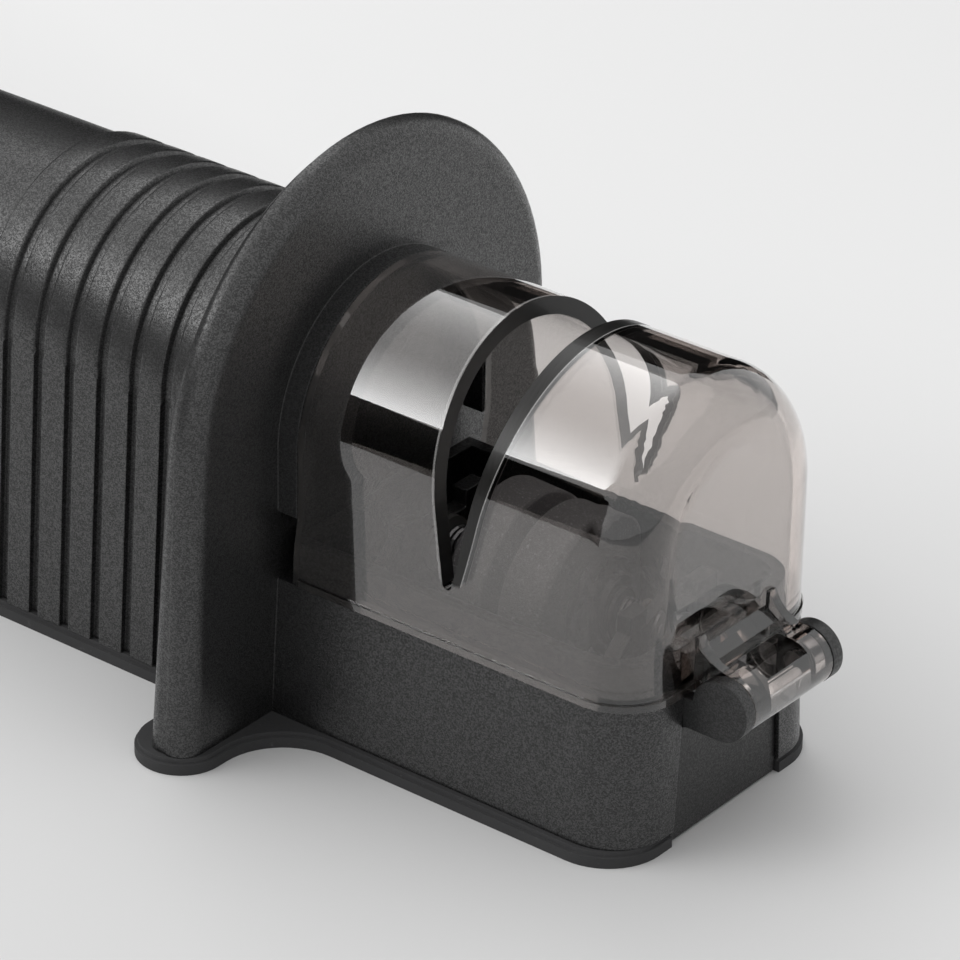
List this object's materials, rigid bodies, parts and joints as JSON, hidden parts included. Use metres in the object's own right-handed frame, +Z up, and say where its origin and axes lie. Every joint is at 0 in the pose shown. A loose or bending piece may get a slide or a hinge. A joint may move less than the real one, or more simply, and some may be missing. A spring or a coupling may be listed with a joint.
{
  "type": "manual knife sharpener",
  "caption": "Hand-held pull-through knife sharpener: ribbed handle, D-shaped hand guard, water tub with V-groove wheels, and a hinged see-through cover with a blade slot.",
  "frame": {"origin": "on the table, under the middle of the object's box", "axes": "+X from the handle to the hinge along the object, +Y across it, +Z up"},
  "size_m": [0.19, 0.0788, 0.076],
  "materials": {
    "body_plastic": "black moulded plastic with a fine spark texture",
    "sole_rubber": "black soft rubber, fine grain",
    "base_plastic": "black plastic plate, fine texture",
    "screw_steel": "zinc plated steel",
    "bracket_plastic": "black moulded plastic, slightly smoother than the body",
    "pin_steel": "ground steel",
    "tray_plastic": "black plastic, semi matt",
    "smoke_plastic": "clear smoke-grey plastic, polished",
    "cradle_plastic": "black plastic",
    "washer_plastic": "natural plain-bearing plastic",
    "hub_plastic": "dark plastic",
    "wheel_ceramic": "dark grey fine-grit ceramic"
  },
  "bodies": {
    "base": {"housing": "body_plastic", "sole": "sole_rubber", "base_plate": "base_plastic", "base_screws": "screw_steel", "hinge_bracket": "bracket_plastic", "hinge_pins": "pin_steel", "bracket_screws": "screw_steel", "water_tray": "tray_plastic"},
    "lid": {"cover": "smoke_plastic"},
    "cartridge": {"wheel_cradle": "cradle_plastic", "axle": "pin_steel", "axle_keepers": "cradle_plastic", "axle_clips": "pin_steel", "thrust_washers": "washer_plastic", "wheel_springs": "pin_steel"},
    "rear_roller": {"rear_hub": "hub_plastic", "rear_wheel": "wheel_ceramic"},
    "front_roller": {"front_hub": "hub_plastic", "front_wheel": "wheel_ceramic"}
  },
  "joints": [
    {"name": "cover_hinge", "type": "hinge", "parent": "base", "child": "lid", "pos_m": [0.09095, 0, 0.0211], "axis": [0, 1, 0], "range_deg": [0, 115]},
    {"name": "cartridge_lift", "type": "slide", "parent": "base", "child": "cartridge", "axis": [0, 0, 1], "range_m": [0, 0.016]},
    {"name": "rear_wheel_spin", "type": "hinge", "parent": "cartridge", "child": "rear_roller", "pos_m": [0.05675, 0, 0.0223], "axis": [1, 0, 0], "continuous": true},
    {"name": "front_wheel_spin", "type": "hinge", "parent": "cartridge", "child": "front_roller", "pos_m": [0.05675, 0, 0.0223], "axis": [1, 0, 0], "continuous": true}
  ]
}
